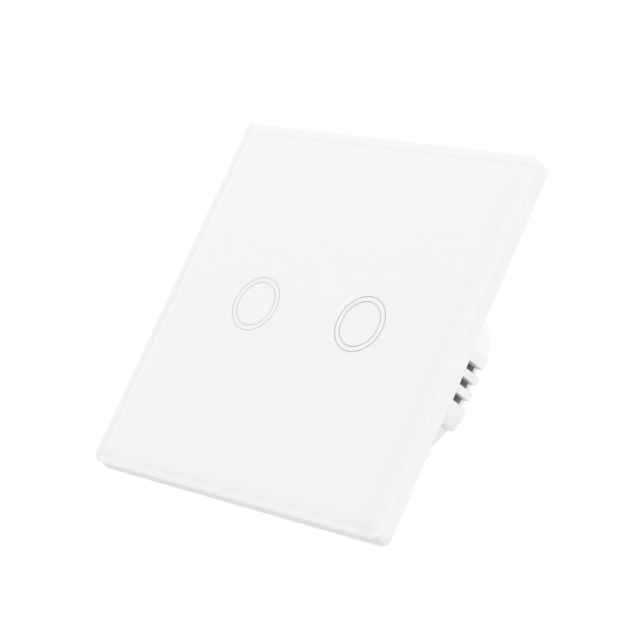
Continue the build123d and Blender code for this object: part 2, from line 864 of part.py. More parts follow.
def terminal_clamp(place):
    """A square loop round the bar: its threaded rear wall rides on the screw."""
    outline = Rectangle(clamp_width, clamp_depth)
    window = Rectangle(clamp_width - 2 * clamp_wall, clamp_depth + overrun)
    clamp = slab(outline, clamp_front, clamp_rear)
    clamp -= slab(window, clamp_front + clamp_wall, clamp_rear - clamp_top)
    thread = peg_hole(terminal_screw_radius + turning_fit)
    clamp -= slab(thread, clamp_rear - clamp_top - overrun, clamp_rear + overrun)
    return Pos(place, 0, clamp_middle) * clamp


def rear_cover():
    """A disc inside the drum's rim, open round the terminal block, with vents over the relays."""
    outline = inner_outline(fit)
    window_top = block_back + bar_thickness + 2 * fit
    window_bottom = -drum_radius
    window = Rectangle(block_width + 2 * fit, window_top - window_bottom)
    outline -= beside(0, (window_top + window_bottom) / 2, window)
    vent = Rectangle(inner_radius * vent_length_share, vent_width)
    for number in range(vent_count):
        step = (number - (vent_count - 1) / 2) * vent_spacing_share
        outline -= beside(0, (vent_centre_share + step) * inner_radius, vent)
    cover = slab(outline, cover_front, drum_depth)
    for angle in column_angles:
        right, up = polar(column_distance, angle)
        cover -= countersink(right, up, cover_front, drum_depth, way=-1)
    return cover


def cover_screws():
    screws = []
    for angle in column_angles:
        right, up = polar(column_distance, angle)
        screws.append(Pos(right, drum_depth, up) * Rot(180, 0, 0) * countersunk_screw())
    return Compound(screws)


nodes = {
    "glass_panel": glass_panel(),
    "bonding_tape": bonding_tape(),
    "front_frame": front_frame(),
    "panel_latches": panel_latches(),
    "mounting_plate": mounting_plate(),
    "plate_screws": plate_screws(),
    "rear_housing": rear_housing(),
    "touch_board": touch_board(),
    "touch_board_screws": touch_board_screws(),
    "indicator_leds": indicator_leds(),
    "touch_chip": touch_chip(),
    "board_socket": board_socket(),
    "board_header": board_header(),
    "power_board": power_board(),
    "power_board_screws": power_board_screws(),
    "rectifier": rectifier(),
    "transformer_core": transformer_core(),
    "transformer_winding": transformer_winding(),
    "bulk_capacitor": bulk_capacitor(),
    "film_capacitor": placed(film_place_share, boxed(film_shares)),
    "varistor": varistor(),
    "fuse": placed(fuse_place_share, boxed(fuse_shares)),
    "terminal_block": terminal_block(),
    "terminal_bars": terminal_bars(),
    "rear_cover": rear_cover(),
    "cover_screws": cover_screws(),
}
for side in mark_places:
    nodes[f"touch_mark_{side}"] = touch_mark(side)
    nodes[f"light_guide_{side}"] = light_guide(side)
    nodes[f"touch_spring_{side}"] = touch_spring(side)
for number, up in enumerate(relay_heights(), start=1):
    raised = Pos(0, 0, up)
    nodes[f"relay_case_{number}"] = raised * relay_case()
    nodes[f"relay_base_{number}"] = raised * relay_base()
    nodes[f"relay_yoke_{number}"] = raised * relay_yoke_and_core()
    nodes[f"relay_coil_{number}"] = raised * relay_coil()
    nodes[f"relay_contact_{number}"] = raised * relay_contact()
    nodes[f"relay_armature_{number}"] = raised * relay_armature()
for number, place in enumerate(way_places, start=1):
    nodes[f"terminal_screw_{number}"] = terminal_screw(place)
    nodes[f"terminal_clamp_{number}"] = terminal_clamp(place)

os.makedirs("parts", exist_ok=True)
for name, shape in nodes.items():
    export_step(shape, f"parts/{name}.step")
print(len(nodes), "parts written")
print("terminal clamp travel", clamp_travel, "turns", clamp_travel / thread_lead)
print("relay hinge at", hinge_place, hinge_depth, [round(up, 4) for up in relay_heights()])
print("wire entries at depth", wire_depth, "height", block_face, way_places)
print("clamps at height", clamp_middle, "screw heads at depth", collar_rear)
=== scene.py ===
# %% [markdown]
# A touch light switch stands in front of us as it would leave the factory: a square glass panel, a
# thin plastic frame behind it, and a round housing that goes into the wall. The measured parts are
# loaded first. They keep their places, and everything added later is set against them.

# %% Load the measured parts
import math

import bmesh
import bpy
from mathutils import Matrix, Vector


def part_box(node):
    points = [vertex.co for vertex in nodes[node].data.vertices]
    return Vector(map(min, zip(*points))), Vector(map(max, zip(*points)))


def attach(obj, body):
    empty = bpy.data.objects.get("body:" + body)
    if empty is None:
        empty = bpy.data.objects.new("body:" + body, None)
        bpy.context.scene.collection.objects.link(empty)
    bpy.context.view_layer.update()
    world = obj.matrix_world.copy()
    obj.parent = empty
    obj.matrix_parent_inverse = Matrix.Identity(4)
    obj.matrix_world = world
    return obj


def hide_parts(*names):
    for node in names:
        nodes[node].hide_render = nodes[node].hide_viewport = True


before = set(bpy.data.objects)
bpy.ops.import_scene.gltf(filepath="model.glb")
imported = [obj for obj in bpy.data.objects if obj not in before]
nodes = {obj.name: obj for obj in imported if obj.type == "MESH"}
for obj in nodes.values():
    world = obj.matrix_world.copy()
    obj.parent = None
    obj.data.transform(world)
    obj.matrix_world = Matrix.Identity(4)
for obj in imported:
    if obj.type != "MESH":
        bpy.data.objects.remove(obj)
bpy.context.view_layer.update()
MM = 0.001

# %% [markdown]
# The camera stands low and to the right of the switch and is rolled a little, because the picture
# shows the panel as a tilted square with its right side and the housing behind. It could be aimed
# with a constraint, but three directions written as the columns of its matrix hold the roll as
# well: right, up, and back towards the photographer. A long lens from half a metre keeps the sides
# nearly parallel.

# %% Camera
camera_place = Vector((0.32578, -0.32901, -0.10970))
camera_right = Vector((0.71551367, 0.57499948, 0.39675657))
camera_up = Vector((-0.14108157, -0.43729793, 0.88818157))
camera_back = camera_right.cross(camera_up)
camera_turn = Matrix((camera_right, camera_up, camera_back)).transposed().to_4x4()

lens = bpy.data.cameras.new("camera")
lens.lens = 124.63
lens.sensor_width = 36.0
lens.clip_start = 0.01
camera = bpy.data.objects.new("camera", lens)
camera.matrix_world = Matrix.Translation(camera_place) @ camera_turn
bpy.context.scene.collection.objects.link(camera)
bpy.context.scene.camera = camera
bpy.context.scene.view_settings.view_transform = "Standard"
print("camera at", tuple(round(value, 3) for value in camera_place), "lens", lens.lens)

# %% [markdown]
# Light and materials are trees of nodes. They could be wired by hand in the node editor, but a
# few short helpers make the same tree again for every finish: one makes a node and sets its
# sockets, one joins two sockets, and the others make the small groups that come up most.

# %% Helpers for node trees


def node(tree, kind, **sockets):
    """Adds a node and sets the named sockets, with spaces written as underscores."""
    made = tree.nodes.new(kind)
    for name, value in sockets.items():
        made.inputs[name.replace("_", " ")].default_value = value
    return made


def join(tree, source, target):
    """Runs a wire from an output to an input."""
    tree.links.new(source, target)


def maths(tree, operation, first, second):
    """One sum, product or comparison of two outputs."""
    made = tree.nodes.new("ShaderNodeMath")
    made.operation = operation
    join(tree, first, made.inputs[0])
    join(tree, second, made.inputs[1])
    return made.outputs[0]


def spread(tree, value, start, end, low=0.0, high=1.0):
    """Maps a value that goes from start to end to one that goes from low to high."""
    made = node(tree, "ShaderNodeMapRange", From_Min=start, From_Max=end, To_Min=low, To_Max=high)
    join(tree, value, made.inputs["Value"])
    return made.outputs["Result"]


def ramp(tree, factor, stops):
    """A colour ramp. Each stop is a position and a colour or a grey value."""
    made = tree.nodes.new("ShaderNodeValToRGB")
    band = made.color_ramp
    while len(band.elements) < len(stops):
        band.elements.new(0.5)
    for element, (position, colour) in zip(band.elements, stops):
        element.position = position
        element.color = (*colour, 1) if isinstance(colour, tuple) else (colour, colour, colour, 1)
    join(tree, factor, made.inputs["Fac"])
    return made.outputs["Color"]


print("helpers for node trees ready")

# %% [markdown]
# The background is plain white, but white walls all round would light the switch too strongly from
# all sides. Each ray knows what it was sent for, so white can be given only to the rays of the
# camera, of reflections and of clear things, and the plain level of light to all the others.

# %% Helpers for what the camera sees


def either(tree, share, first, second):
    """Two shaders, the second one by the share."""
    made = tree.nodes.new("ShaderNodeMixShader")
    join(tree, share, made.inputs["Fac"])
    join(tree, first, made.inputs[1])
    join(tree, second, made.inputs[2])
    return made.outputs[0]


def is_seen(tree):
    """1 for a ray from the camera, a reflection or a clear thing, and 0 for a ray of soft light."""
    ray = tree.nodes.new("ShaderNodeLightPath").outputs
    seen = maths(tree, "MAXIMUM", ray["Is Camera Ray"], ray["Is Glossy Ray"])
    return maths(tree, "MAXIMUM", seen, ray["Is Transmission Ray"])


print("helpers for the background ready")

# %% [markdown]
# Light for a product picture is broad and even. The whole room gives most of it: light from all
# sides, a little less from above, where the lamps are, and less from below, as above a table. More
# lamps could do this, but a ramp against the height of the light's direction has no edges.

# %% Room light
room_levels = [(0.0, 0.54), (0.45, 0.90), (0.6, 1.0), (1.0, 0.78)]
world = bpy.data.worlds.new("room")
bpy.context.scene.world = world
world.use_nodes = True
room = world.node_tree
room.nodes.clear()
direction = room.nodes.new("ShaderNodeTexCoord")
room_split = room.nodes.new("ShaderNodeSeparateXYZ")
join(room, direction.outputs["Generated"], room_split.inputs["Vector"])
soft_light = node(room, "ShaderNodeBackground", Strength=1.0)
room_height = spread(room, room_split.outputs["Z"], -1.0, 1.0)
join(room, ramp(room, room_height, room_levels), soft_light.inputs["Color"])
white = node(room, "ShaderNodeBackground", Color=(1, 1, 1, 1), Strength=1.0)
room_output = room.nodes.new("ShaderNodeOutputWorld")
room_mix = either(room, is_seen(room), soft_light.outputs[0], white.outputs[0])
join(room, room_mix, room_output.inputs["Surface"])
print("room light from straight below to straight above:", [level for _, level in room_levels])

# %% [markdown]
# The lamps are large squares, because a large lamp close by gives the soft shadows of a product
# studio. The one at the front left is hidden from reflections, or the polished glass would show it
# as a bright patch with a hard edge.

# %% Soft lamps


def softbox(name, place_from, aim, side, power, shines=True):
    """A square lamp that looks at a point. shines says whether it is seen in reflections."""
    data = bpy.data.lights.new(name, "AREA")
    data.shape = "SQUARE"
    data.size = side
    data.energy = power
    lamp = bpy.data.objects.new(name, data)
    lamp.location = place_from
    lamp.rotation_euler = (Vector(aim) - Vector(place_from)).to_track_quat("-Z", "Y").to_euler()
    lamp.visible_camera = False
    lamp.visible_glossy = shines
    bpy.context.scene.collection.objects.link(lamp)
    return lamp


middle = (0.0, 0.005, 0.0)
softbox("lamp_front_left", (-0.55, -0.75, 0.50), middle, 0.7, 2.35, shines=False)
softbox("lamp_right", (0.90, -0.20, 0.0), middle, 0.6, 1.70)
softbox("lamp_top", (0.05, 0.10, 0.95), middle, 0.6, 0.65)
softbox("lamp_rear", (-0.20, 0.80, 0.45), middle, 0.6, 1.0)

# %% [markdown]
# A material starts from its main shader. Coordinates are taken from the piece itself, in
# millimetres, so a grain keeps its real size and stays put when the piece moves. Noise in these
# coordinates, turned into colours by a ramp, is the base of nearly every finish here. An image
# would need unwrapping and would show its pixels up close.

# %% Helpers for materials


def start_material(name):
    """A new material, its tree and its main shader."""
    material = bpy.data.materials.new(name)
    material.use_nodes = True
    tree = material.node_tree
    return material, tree, tree.nodes["Principled BSDF"]


def place(tree, scale=(1, 1, 1)):
    """Coordinates fixed to the piece, in millimetres, stretched by scale."""
    where = tree.nodes.new("ShaderNodeTexCoord")
    stretch = node(tree, "ShaderNodeMapping", Scale=[value / MM for value in scale])
    join(tree, where.outputs["Object"], stretch.inputs["Vector"])
    return stretch.outputs["Vector"]


def place_along(tree, axis):
    """The place along one axis of the piece, in millimetres."""
    split = tree.nodes.new("ShaderNodeSeparateXYZ")
    join(tree, place(tree), split.inputs["Vector"])
    return split.outputs[axis]


def noise(tree, coordinates, scale, detail=3.0, roughness=0.5):
    """Soft random spots, scale of them to a millimetre."""
    made = node(tree, "ShaderNodeTexNoise", Scale=scale, Detail=detail, Roughness=roughness)
    join(tree, coordinates, made.inputs["Vector"])
    return made.outputs["Fac"]


def bump(tree, height, distance):
    """Relief of the given depth in millimetres."""
    made = node(tree, "ShaderNodeBump", Strength=1.0, Distance=distance * MM)
    join(tree, height, made.inputs["Height"])
    return made.outputs["Normal"]


def shade(colour, amount):
    """A colour made lighter or darker."""
    return tuple(min(1.0, channel * amount) for channel in colour)


print("helpers for materials ready")

# %% [markdown]
# The floor is a wide pale disc under the switch. It catches the shadow, and it turns white towards
# its rim, where it meets the white background. A curved sheet, as in a studio, would stand in the
# way of a camera behind the switch. The paper that throws light back up is darker than the paper
# that the camera sees, because it would otherwise light the underside too much. Seen from below
# the floor is clear, so a low camera can look up at the switch.

# %% Floor
floor_level = -0.165
floor_radius = 2.0
fade_start, fade_end = 0.15, 0.55
bpy.ops.mesh.primitive_circle_add(
    vertices=96, radius=floor_radius, fill_type="NGON", location=(0, 0, floor_level)
)
floor = bpy.context.object
floor.name = "floor"
floor_material, floor_tree, floor_shader = start_material("floor_paper")
floor_shader.inputs["Roughness"].default_value = 0.9
floor_seen = is_seen(floor_tree)
paper_grain = noise(floor_tree, place(floor_tree), 0.35)
paper_choice = floor_tree.nodes.new("ShaderNodeMix")
paper_choice.data_type = "RGBA"
join(floor_tree, floor_seen, paper_choice.inputs["Factor"])
join(floor_tree, ramp(floor_tree, paper_grain, [(0.3, 0.69), (0.7, 0.71)]), paper_choice.inputs["A"])
join(floor_tree, ramp(floor_tree, paper_grain, [(0.3, 0.90), (0.7, 0.93)]), paper_choice.inputs["B"])
join(floor_tree, paper_choice.outputs["Result"], floor_shader.inputs["Base Color"])

from_middle = floor_tree.nodes.new("ShaderNodeVectorMath")
from_middle.operation = "LENGTH"
floor_place = floor_tree.nodes.new("ShaderNodeTexCoord")
join(floor_tree, floor_place.outputs["Object"], from_middle.inputs[0])
rim_share = spread(floor_tree, from_middle.outputs["Value"], fade_start, fade_end)
glow = node(floor_tree, "ShaderNodeEmission", Color=(1, 1, 1, 1), Strength=1.0)
clear = floor_tree.nodes.new("ShaderNodeBsdfTransparent")
facing = floor_tree.nodes.new("ShaderNodeNewGeometry")
glow_share = maths(floor_tree, "MULTIPLY", rim_share, floor_seen)
from_above = either(floor_tree, glow_share, floor_shader.outputs[0], glow.outputs[0])
both_sides = either(floor_tree, facing.outputs["Backfacing"], from_above, clear.outputs[0])
join(floor_tree, both_sides, floor_tree.nodes["Material Output"].inputs["Surface"])
floor.data.materials.append(floor_material)
print("floor at", floor_level, "m, white from", fade_end, "m outwards")

# %% [markdown]
# Nearly every visible part is moulded plastic. A mould leaves a very fine satin grain, so the
# surface is slightly uneven in gloss. One function makes all such plastics: a colour with a slight
# cloudiness, a roughness that varies with a fine noise, and the same noise as relief.

# %% Moulded plastic


def moulded(name, colour, roughness=0.42, grain_size=6.0, grain_depth=0.004, cloud=0.012):
    """A plastic. Its grain is given in spots to a millimetre and in millimetres of depth."""
    material, tree, shader = start_material(name)
    spot = place(tree)
    tint = [(0.3, shade(colour, 1 - cloud)), (0.7, shade(colour, 1 + cloud))]
    join(tree, ramp(tree, noise(tree, spot, 0.12), tint), shader.inputs["Base Color"])
    fine = noise(tree, spot, grain_size, detail=2.0)
    gloss = ramp(tree, fine, [(0.3, roughness - 0.04), (0.7, roughness + 0.04)])
    join(tree, gloss, shader.inputs["Roughness"])
    join(tree, bump(tree, fine, grain_depth), shader.inputs["Normal"])
    return material


def paint(material, *names):
    """Gives a material to measured parts."""
    for name in names:
        slots = nodes[name].data.materials
        slots.clear()
        slots.append(material)


frame_plastic = moulded("frame_plastic", (0.888, 0.892, 0.872), roughness=0.38)
housing_plastic = moulded("housing_plastic", (0.892, 0.892, 0.872), roughness=0.45)
paint(frame_plastic, "front_frame", "panel_latches")
paint(housing_plastic, "rear_housing", "rear_cover")
paint(moulded("block_plastic", (0.62, 0.63, 0.61), roughness=0.5), "terminal_block")
paint(moulded("guide_milky", (0.86, 0.88, 0.88), roughness=0.25), "light_guide_left", "light_guide_right")
foam_tape = moulded("foam_tape", (0.86, 0.86, 0.84), roughness=0.8, grain_size=3.0, grain_depth=0.01)
paint(foam_tape, "bonding_tape")
print("plastics of the case:", [material.name for material in bpy.data.materials])

# %% [markdown]
# The electronic parts inside have their own plastics. The chip, the plugs and the rectifier are
# black resin, the relays have dark blue cases on black bases, the capacitors are a yellow box and
# a sleeved can, and the varistor was dipped in blue lacquer, which is glossy and a little wavy. The
# same function makes them all, because only the tone, the gloss and the depth of grain differ.

# %% Plastics of the electronic parts
black_resin = moulded("black_resin", (0.022, 0.022, 0.024), roughness=0.48, cloud=0.1)
paint(black_resin, "touch_chip", "board_socket", "board_header", "rectifier")
for number in (1, 2):
    relay_blue = moulded(f"relay_blue_{number}", (0.03, 0.07, 0.22), roughness=0.3, cloud=0.05)
    paint(relay_blue, f"relay_case_{number}")
    paint(moulded(f"relay_black_{number}", (0.02, 0.02, 0.022), cloud=0.1), f"relay_base_{number}")
paint(moulded("box_resin", (0.62, 0.47, 0.09), roughness=0.4, cloud=0.03), "film_capacitor")
blue_dip = moulded("blue_dip", (0.04, 0.12, 0.36), roughness=0.2, grain_size=1.0, grain_depth=0.02, cloud=0.06)
paint(blue_dip, "varistor")
paint(moulded("fuse_brown", (0.07, 0.03, 0.02), roughness=0.4, cloud=0.08), "fuse")
ferrite = moulded("ferrite_grey", (0.035, 0.035, 0.038), roughness=0.65, grain_size=3.0, grain_depth=0.02)
paint(ferrite, "transformer_core")
paint(moulded("wound_tape", (0.72, 0.50, 0.03), roughness=0.3, cloud=0.04), "transformer_winding")
paint(moulded("can_sleeve", (0.03, 0.035, 0.06), roughness=0.25, cloud=0.06), "bulk_capacitor")
paint(moulded("lamp_resin", (0.80, 0.79, 0.66), roughness=0.15, cloud=0.02), "indicator_leds")
print("plastics in all:", len(bpy.data.materials))

# %% [markdown]
# A moulded edge is never razor sharp. It could be rounded in the measured parts, at the price of
# many small faces in every check. Here modifiers round it by a fraction of a millimetre and leave
# the measured mesh itself alone: one joins the seams, one merges the flat faces, one bevels.

# %% Softened edges
seam_reach = 0.002
flat_angle = math.radians(0.5)
edge_angle = math.radians(40)


def soften(radius, *names):
    """Rounds the crisp edges of measured parts by a radius in millimetres."""
    for name in names:
        seams = nodes[name].modifiers.new("join_seams", "WELD")
        seams.merge_threshold = seam_reach * MM
        flats = nodes[name].modifiers.new("merge_flats", "DECIMATE")
        flats.decimate_type = "DISSOLVE"
        flats.angle_limit = flat_angle
        edges = nodes[name].modifiers.new("soft_edges", "BEVEL")
        edges.width = radius * MM
        edges.segments = 2
        edges.limit_method = "ANGLE"
        edges.angle_limit = edge_angle
        edges.harden_normals = True


soften(0.15, "front_frame", "rear_housing", "terminal_block", "rear_cover", "panel_latches")
soften(0.1, "relay_case_1", "relay_case_2", "board_socket", "board_header")
soften(0.1, "light_guide_left", "light_guide_right")
print("softened:", sorted(name for name in nodes if nodes[name].modifiers))

# %% [markdown]
# Sheet steel and screws are zinc plated. Plating looks bright but not like a mirror: it has faint
# streaks from rolling and a soft blue-grey tone. The streaks are noise stretched along one axis.
# The same function serves brass, spring steel and the wound copper wire, whose turns are streaks
# close together with more relief.

# %% Metals


def metal(name, colour, roughness=0.3, streaks=(0.3, 3.0, 6.0), streak_depth=0.002):
    """A metal. Its streaks are given as spots to a millimetre along each axis."""
    material, tree, shader = start_material(name)
    shader.inputs["Metallic"].default_value = 1.0
    lines = noise(tree, place(tree, streaks), 1.0, detail=4.0)
    tint = ramp(tree, lines, [(0.3, shade(colour, 0.93)), (0.7, shade(colour, 1.05))])
    join(tree, tint, shader.inputs["Base Color"])
    gloss = ramp(tree, lines, [(0.3, roughness - 0.07), (0.7, roughness + 0.08)])
    join(tree, gloss, shader.inputs["Roughness"])
    join(tree, bump(tree, lines, streak_depth), shader.inputs["Normal"])
    return material


zinc_screw = metal("zinc_screw", (0.60, 0.61, 0.62), streaks=(4.0, 4.0, 4.0))
bright_brass = metal("bright_brass", (0.78, 0.60, 0.28), roughness=0.25)
nickel_iron = metal("nickel_iron", (0.55, 0.54, 0.52), roughness=0.35)
spring_steel = metal("spring_steel", (0.62, 0.62, 0.63), roughness=0.2, streaks=(5.0, 5.0, 5.0))
copper_wire = metal(
    "copper_wire", (0.72, 0.33, 0.16), roughness=0.3, streaks=(0.5, 9.0, 0.5), streak_depth=0.05
)
paint(metal("zinc_plate", (0.66, 0.67, 0.68)), "mounting_plate")
paint(zinc_screw, "plate_screws", "cover_screws", "touch_board_screws", "power_board_screws")
paint(bright_brass, "terminal_bars")
paint(spring_steel, "touch_spring_left", "touch_spring_right")
for number in (1, 2):
    paint(nickel_iron, f"relay_yoke_{number}", f"relay_armature_{number}")
    paint(bright_brass, f"relay_contact_{number}")
    paint(copper_wire, f"relay_coil_{number}")
for number in (1, 2, 3, 4):
    paint(zinc_screw, f"terminal_screw_{number}")
    paint(bright_brass, f"terminal_clamp_{number}")
soften(0.1, "mounting_plate", "terminal_bars")
print("finishes so far:", len(bpy.data.materials))

# %% [markdown]
# The boards are glass fibre with a green lacquer. The weave could be made of threads, but only its
# faint ribs show through the lacquer, so fine waves used as relief are enough. The lacquer is a
# little cloudy where it ran thicker.

# %% Circuit boards
board_material, board_tree, board_shader = start_material("board_lacquer")
board_shader.inputs["Roughness"].default_value = 0.28
weave_scale = 1.6
weave = node(board_tree, "ShaderNodeTexWave", Scale=weave_scale)
weave.bands_direction = "X"
join(board_tree, place(board_tree), weave.inputs["Vector"])
lacquer = noise(board_tree, place(board_tree), 0.5, detail=4.0)
green = ramp(board_tree, lacquer, [(0.3, (0.010, 0.100, 0.042)), (0.7, (0.014, 0.116, 0.050))])
join(board_tree, green, board_shader.inputs["Base Color"])
join(board_tree, bump(board_tree, weave.outputs["Fac"], 0.004), board_shader.inputs["Normal"])
paint(board_material, "touch_board", "power_board")
print("weave of the boards:", weave_scale, "to a millimetre")

# %% [markdown]
# Near each edge of the panel the bevel bends the view of the print behind it: there are faint
# lighter and darker bands, a few millimetres wide and different on each side. Real glass would
# show them after a long calculation with much grain. They are painted into the colour instead, as
# painted light and shade: one ramp per side, against the distance from that side. The ramps hold
# changes of brightness, raised by a gain so that a ramp can hold them finely. A change can also
# come in along an edge, because the band at the right is faint near the top corner, where the
# bevels meet.

# %% Painted light and shade near the edges of the glass


def box_in_mm(name):
    """The lowest and the highest corner of a measured part."""
    return tuple(corner_point / MM for corner_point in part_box(name))


panel_low, panel_high = box_in_mm("glass_panel")
panel_half = panel_high.x
band_reach = 8.0
band_gain = 5.0
no_change = 0.5
print_white = (0.854, 0.872, 0.864)


def painted_band(tree, axis, sign, stops):
    """Painted light and shade against the distance from one side, from stops of distance and change."""
    away = spread(tree, place_along(tree, axis), sign * panel_half, sign * (panel_half - band_reach))
    levels = [(distance / band_reach, no_change + band_gain * change) for distance, change in stops]
    return ramp(tree, away, levels)


def faded(tree, change, axis, start, end):
    """A change that comes in along an axis: none before start, all of it after end."""
    blend = node(tree, "ShaderNodeMix", A=no_change)
    join(tree, spread(tree, place_along(tree, axis), start, end), blend.inputs["Factor"])
    join(tree, change, blend.inputs["B"])
    return blend.outputs["Result"]


def times(tree, first, second):
    """The product of two colours."""
    mix = tree.nodes.new("ShaderNodeMix")
    mix.data_type = "RGBA"
    mix.blend_type = "MULTIPLY"
    mix.inputs["Factor"].default_value = 1.0
    join(tree, first, mix.inputs["A"])
    join(tree, second, mix.inputs["B"])
    return mix.outputs["Result"]


print("bands reach", band_reach, "mm into a glass", round(2 * panel_half, 1), "mm wide")

# %% [markdown]
# The panel is clear glass, printed white on its back, so the colour lies a little way under a
# polished surface. A white body with a smooth clear coat gives this look without tracing rays
# through the glass. The painted light and shade of the four sides are added up, scaled back and
# multiplied with the white of the print, which is itself a trace cloudy.

# %% Printed glass
# Painted light and shade of the bevels: for each side, stops of distance in millimetres and change of
# brightness.
painted_bands_by_side = (
    ("X", 1, [(0.0, 0.005), (1.2, 0.0), (3.8, -0.030), (6.4, 0.0)]),
    ("X", -1, [(0.0, 0.0), (0.8, 0.0), (1.7, -0.036), (2.3, -0.02), (2.8, 0.040), (3.4, 0.0), (8.0, 0.0)]),
    ("Z", 1, [(0.0, 0.0), (1.3, 0.0), (2.2, -0.025), (3.0, 0.005), (4.0, 0.012), (8.0, 0.0)]),
    ("Z", -1, [(0.0, 0.010), (1.0, 0.032), (1.6, -0.010), (2.2, -0.025), (4.0, 0.0)]),
)
panel_material, panel_tree, panel_shader = start_material("white_glass")
panel_shader.inputs["Roughness"].default_value = 0.35
panel_shader.inputs["Coat Weight"].default_value = 1.0
panel_shader.inputs["Coat Roughness"].default_value = 0.03
panel_shader.inputs["Coat IOR"].default_value = 1.5
changes = [painted_band(panel_tree, axis, sign, stops) for axis, sign, stops in painted_bands_by_side]
calm_start, calm_end = panel_half - 1.5, panel_half - 12.0
changes[0] = faded(panel_tree, changes[0], "Z", calm_start, calm_end)
total = changes[0]
for change in changes[1:]:
    total = maths(panel_tree, "ADD", total, change)
neutral = no_change * len(changes)
half_range = 0.5 / band_gain
painted_light_and_shade = spread(panel_tree, total, neutral - 0.5, neutral + 0.5, 1 - half_range, 1 + half_range)
print_cloud = noise(panel_tree, place(panel_tree), 0.02, detail=1.0)
print_stops = [(0.3, shade(print_white, 0.998)), (0.7, shade(print_white, 1.002))]
panel_colour = ramp(panel_tree, print_cloud, print_stops)
# The white of the print, times the painted light and shade of the bevels.
join(panel_tree, times(panel_tree, panel_colour, painted_light_and_shade), panel_shader.inputs["Base Color"])
print("glass printed, with bands on", len(painted_bands_by_side), "sides")

# %% [markdown]
# Small pieces are made as lists of points and faces in millimetres, called shapes here. Blender's
# own cubes and cylinders could be edited into them, but a list made from named sizes says how big
# the piece is and comes out the same each time. The first helpers stack outlines one behind the
# other.

# %% Helpers for shapes


def rounded(width, height, corner, depth, steps=4):
    """A rectangle with round corners in the plane of the wall, as a loop of points."""
    loop = []
    for quarter, (right, up) in enumerate(((1, 1), (-1, 1), (-1, -1), (1, -1))):
        for step in range(steps + 1):
            angle = math.pi / 2 * (quarter + step / steps)
            across = right * (width / 2 - corner) + corner * math.cos(angle)
            along = up * (height / 2 - corner) + corner * math.sin(angle)
            loop.append((across, depth, along))
    return loop


def stacked(loops):
    """A closed shape from outlines with equal numbers of points, one behind the other."""
    count = len(loops[0])
    points = [point for loop in loops for point in loop]
    faces = [tuple(range(count)), tuple(reversed(range(count * (len(loops) - 1), count * len(loops))))]
    for level in range(len(loops) - 1):
        low, high = level * count, (level + 1) * count
        for step in range(count):
            beside = (step + 1) % count
            faces.append((low + step, high + step, high + beside, low + beside))
    return points, faces


print("helpers for shapes ready")

# %% [markdown]
# Only the last step makes a Blender object of a shape: it turns the faces outwards, marks the edges
# that stay crisp, gives the material, and hangs the piece on the body that carries it. A piece that
# stands for a measured part takes its place in the picture.

# %% From a shape to a piece


def mesh_of(name, shape):
    """A Blender mesh in metres, with all its faces turned outwards."""
    mesh = bpy.data.meshes.new(name)
    mesh.from_pydata([Vector(point) * MM for point in shape[0]], [], shape[1])
    work = bmesh.new()
    work.from_mesh(mesh)
    bmesh.ops.recalc_face_normals(work, faces=work.faces)
    work.to_mesh(mesh)
    work.free()
    return mesh


def carried(name, mesh, body, stands_for):
    """An object that moves with a body and may stand for measured parts."""
    thing = bpy.data.objects.new(name, mesh)
    bpy.context.scene.collection.objects.link(thing)
    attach(thing, body)
    if stands_for:
        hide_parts(*stands_for)
    return thing


def piece(name, shape, material, body, stands_for=(), crisp=30.0):
    """Makes the shape an object. Edges sharper than the crisp angle, in degrees, stay crisp."""
    mesh = mesh_of(name, shape)
    mesh.polygons.foreach_set("use_smooth", [True] * len(mesh.polygons))
    mesh.set_sharp_from_angle(angle=math.radians(crisp))
    mesh.materials.append(material)
    return carried(name, mesh, body, stands_for)


print("helpers for pieces ready")

# %% [markdown]
# The rim of the pane is ground and polished. It looks lighter near its front, where light comes in
# through the bevel, so its colour is a ramp against the depth in the glass.

# %% Ground edge of the glass
edge_material, edge_tree, edge_shader = start_material("glass_edge")
edge_shader.inputs["Roughness"].default_value = 0.2
edge_shader.inputs["Coat Weight"].default_value = 1.0
edge_shader.inputs["Coat Roughness"].default_value = 0.05
edge_noise = noise(edge_tree, place(edge_tree, (1.0, 0.2, 1.0)), 0.6)
edge_cloud = ramp(edge_tree, edge_noise, [(0.3, 0.992), (0.7, 1.0)])
edge_stops = [(0.1, (0.925, 0.932, 0.918)), (0.5, (0.898, 0.902, 0.884)), (1.0, (0.888, 0.892, 0.872))]
inwards = spread(edge_tree, place_along(edge_tree, "Y"), panel_low.y, panel_high.y)
edge_colour = times(edge_tree, ramp(edge_tree, inwards, edge_stops), edge_cloud)
join(edge_tree, edge_colour, edge_shader.inputs["Base Color"])
print("edge colour in", len(edge_stops), "steps of depth")

# %% [markdown]
# The two long edges of the rim carry a narrow flat, a tenth of a millimetre wide, that catches the
# light as a bright line. A bevel modifier would treat all edges alike, so the pane is stacked from
# round-cornered outlines, which puts each flat exactly where the grinder leaves it. The faces of
# the rim get the second material.

# %% Glass panel
panel_side = 2 * panel_half
bevel_width, bevel_depth = 2.0, 0.25
arris, back_arris = 0.12, 0.03
pane_corner, front_corner = 1.5, 0.3
corner_steps = 20
inner_side = panel_side - 2 * bevel_width
front_side, back_side = panel_side - 2 * arris, panel_side - 2 * back_arris
bevel_foot = panel_low.y + bevel_depth
pane = stacked(
    [
        rounded(inner_side, inner_side, front_corner, panel_low.y, corner_steps),
        rounded(front_side, front_side, pane_corner - arris, bevel_foot, corner_steps),
        rounded(panel_side, panel_side, pane_corner, bevel_foot + arris, corner_steps),
        rounded(panel_side, panel_side, pane_corner, panel_high.y - back_arris, corner_steps),
        rounded(back_side, back_side, pane_corner, panel_high.y, corner_steps),
    ]
)
glass = piece("glass_pane", pane, panel_material, "front_panel", ("glass_panel",), crisp=5.0)
glass.data.materials.append(edge_material)
for face in glass.data.polygons:
    if abs(face.normal.y) < 0.9:
        face.material_index = 1
print("glass pane", round(panel_side, 1), "mm wide, faces", len(glass.data.polygons))

